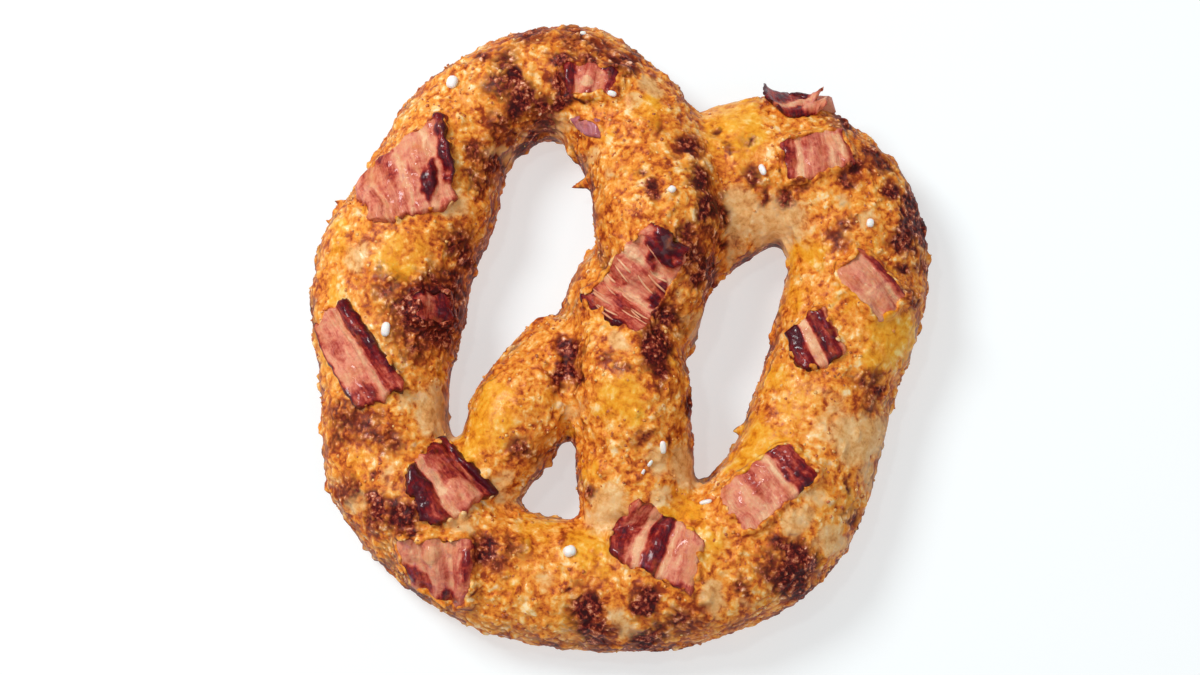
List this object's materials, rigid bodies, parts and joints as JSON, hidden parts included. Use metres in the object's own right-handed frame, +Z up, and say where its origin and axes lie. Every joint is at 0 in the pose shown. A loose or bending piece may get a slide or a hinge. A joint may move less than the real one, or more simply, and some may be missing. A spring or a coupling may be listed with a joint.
{
  "type": "soft pretzel",
  "caption": "Soft pretzel of thick twisted dough, baked under melted cheese and slices of bacon, lying flat on its underside.",
  "frame": {"origin": "on the flat underside, below the middle of the outline", "axes": "+Z up out of the flat underside; +Y from the belly towards the two arches; +X towards the side of the arch whose strand passes over at the lower crossing"},
  "size_m": [0.1592, 0.1634, 0.0369],
  "materials": {
    "baked_dough": "golden baked cheese crust over bread dough, slightly oily",
    "crisp_bacon": "fried bacon, glossy dark red lean and pale pink fat"
  },
  "bodies": {
    "root": {"pretzel": "baked_dough", "bacon_left_arch": "crisp_bacon", "bacon_left_side": "crisp_bacon", "bacon_left_inside": "crisp_bacon", "bacon_left_tip": "crisp_bacon", "bacon_belly_left": "crisp_bacon", "bacon_belly_middle": "crisp_bacon", "bacon_belly_right": "crisp_bacon", "bacon_right_side": "crisp_bacon", "bacon_right_shoulder": "crisp_bacon", "bacon_right_arch": "crisp_bacon", "bacon_right_crown": "crisp_bacon", "bacon_twist": "crisp_bacon", "bacon_left_crown": "crisp_bacon", "bacon_left_inner": "crisp_bacon"}
  },
  "joints": []
}
